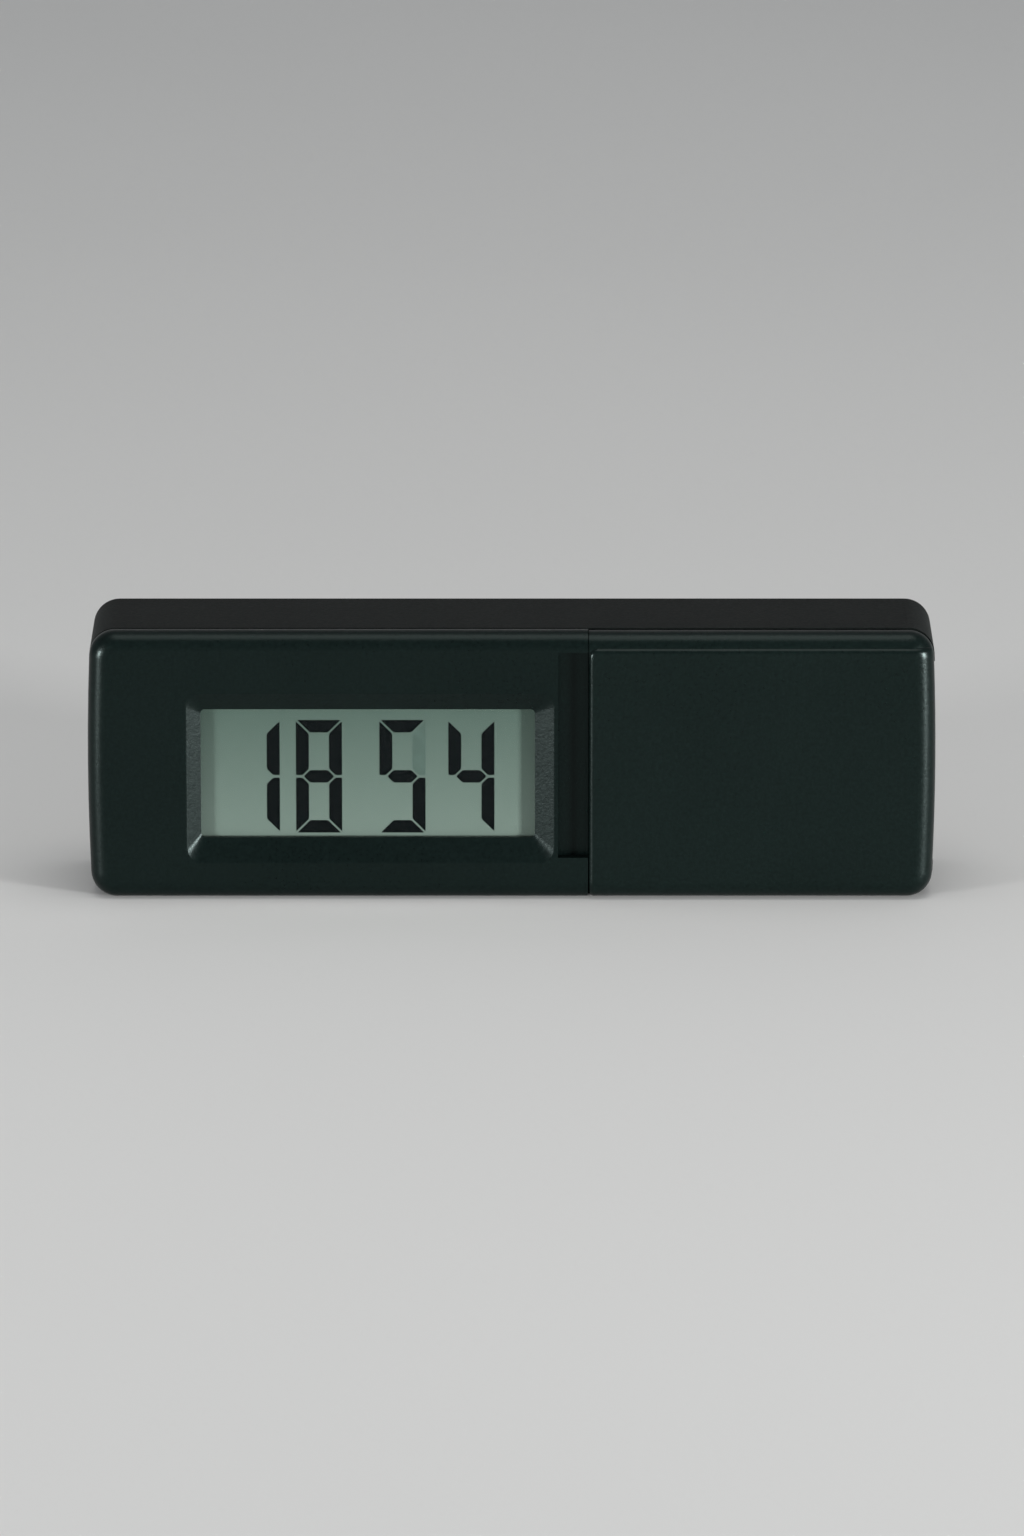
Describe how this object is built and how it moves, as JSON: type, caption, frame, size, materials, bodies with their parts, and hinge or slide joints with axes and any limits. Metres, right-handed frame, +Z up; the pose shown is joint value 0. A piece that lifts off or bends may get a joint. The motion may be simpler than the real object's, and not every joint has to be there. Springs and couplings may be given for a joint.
{
  "type": "digital hygrometer",
  "caption": "Slim black digital hygrometer for a cigar box lid: LCD behind a sunken window, slide-off battery cover, magnetic mounting plate with a foam tape pad.",
  "frame": {"origin": "on the ground under the middle of the overall width and depth, with the case standing on its long lower side", "axes": "+X along the case, left to right as the display is read; +Y from the display to the back; +Z up"},
  "size_m": [0.096, 0.0192, 0.031],
  "materials": {
    "case_plastic": "fine matt texture, black",
    "clear_acrylic": "clear, glossy",
    "polariser_film": "clear film with a grey-green tint",
    "lcd_glass": "clear",
    "lcd_reflector_film": "grey-green, satin",
    "white_plastic": "moulded, white",
    "zebra_rubber": "layered silicone, grey",
    "green_board": "green solder mask",
    "black_resin": "glossy drop",
    "nickel_plate": "nickel plated",
    "resistor_ceramic": "black with tinned ends",
    "capacitor_ceramic": "tan with tinned ends",
    "sensor_white": "white ceramic with a dark comb",
    "amber_glass": "glass bead",
    "switch_black": "moulded, black",
    "button_grey": "moulded, mid grey",
    "cell_steel": "bright stainless steel",
    "seal_nylon": "dark nylon",
    "screw_zinc": "zinc plated",
    "zinc_plate": "zinc plated sheet",
    "foam_tape": "black foam tape"
  },
  "bodies": {
    "case": {"board_screws": "screw_zinc", "case_screws": "screw_zinc", "chip_cover": "black_resin", "display_window": "clear_acrylic", "front_bezel": "case_plastic", "humidity_sensor": "sensor_white", "humidity_sensor_pins": "nickel_plate", "lcd_front_glass": "lcd_glass", "lcd_holder": "white_plastic", "lcd_polariser": "polariser_film", "lcd_rear_glass": "lcd_glass", "lcd_reflector": "lcd_reflector_film", "left_cell_can": "cell_steel", "left_cell_cap": "cell_steel", "left_cell_contact": "nickel_plate", "left_cell_seal": "seal_nylon", "left_magnet": "nickel_plate", "lower_switch_body": "switch_black", "main_board": "green_board", "rear_housing": "case_plastic", "right_cell_can": "cell_steel", "right_cell_cap": "cell_steel", "right_cell_contact": "nickel_plate", "right_cell_seal": "seal_nylon", "right_magnet": "nickel_plate", "smd_capacitors": "capacitor_ceramic", "smd_resistors": "resistor_ceramic", "thermistor": "amber_glass", "timing_crystal": "nickel_plate", "upper_switch_body": "switch_black", "zebra_strip_lower": "zebra_rubber", "zebra_strip_upper": "zebra_rubber"},
    "battery_cover": {"battery_cover": "case_plastic", "cell_bridge": "nickel_plate"},
    "upper_button": {"upper_button": "button_grey", "upper_switch_plunger": "white_plastic"},
    "lower_button": {"lower_button": "button_grey", "lower_switch_plunger": "white_plastic"},
    "mounting_plate": {"steel_plate": "zinc_plate", "adhesive_pad": "foam_tape"}
  },
  "joints": [
    {"name": "cover_slide", "type": "slide", "parent": "case", "child": "battery_cover", "axis": [1, 0, 0], "range_m": [0, 0.034]},
    {"name": "upper_button_press", "type": "slide", "parent": "case", "child": "upper_button", "axis": [0, 1, 0], "range_m": [0, 0.0004], "stiffness_N_per_m": 300},
    {"name": "lower_button_press", "type": "slide", "parent": "case", "child": "lower_button", "axis": [0, 1, 0], "range_m": [0, 0.0004], "stiffness_N_per_m": 300},
    {"name": "plate_pull", "type": "slide", "parent": "case", "child": "mounting_plate", "axis": [0, 1, 0], "range_m": [0, 0.012]}
  ]
}
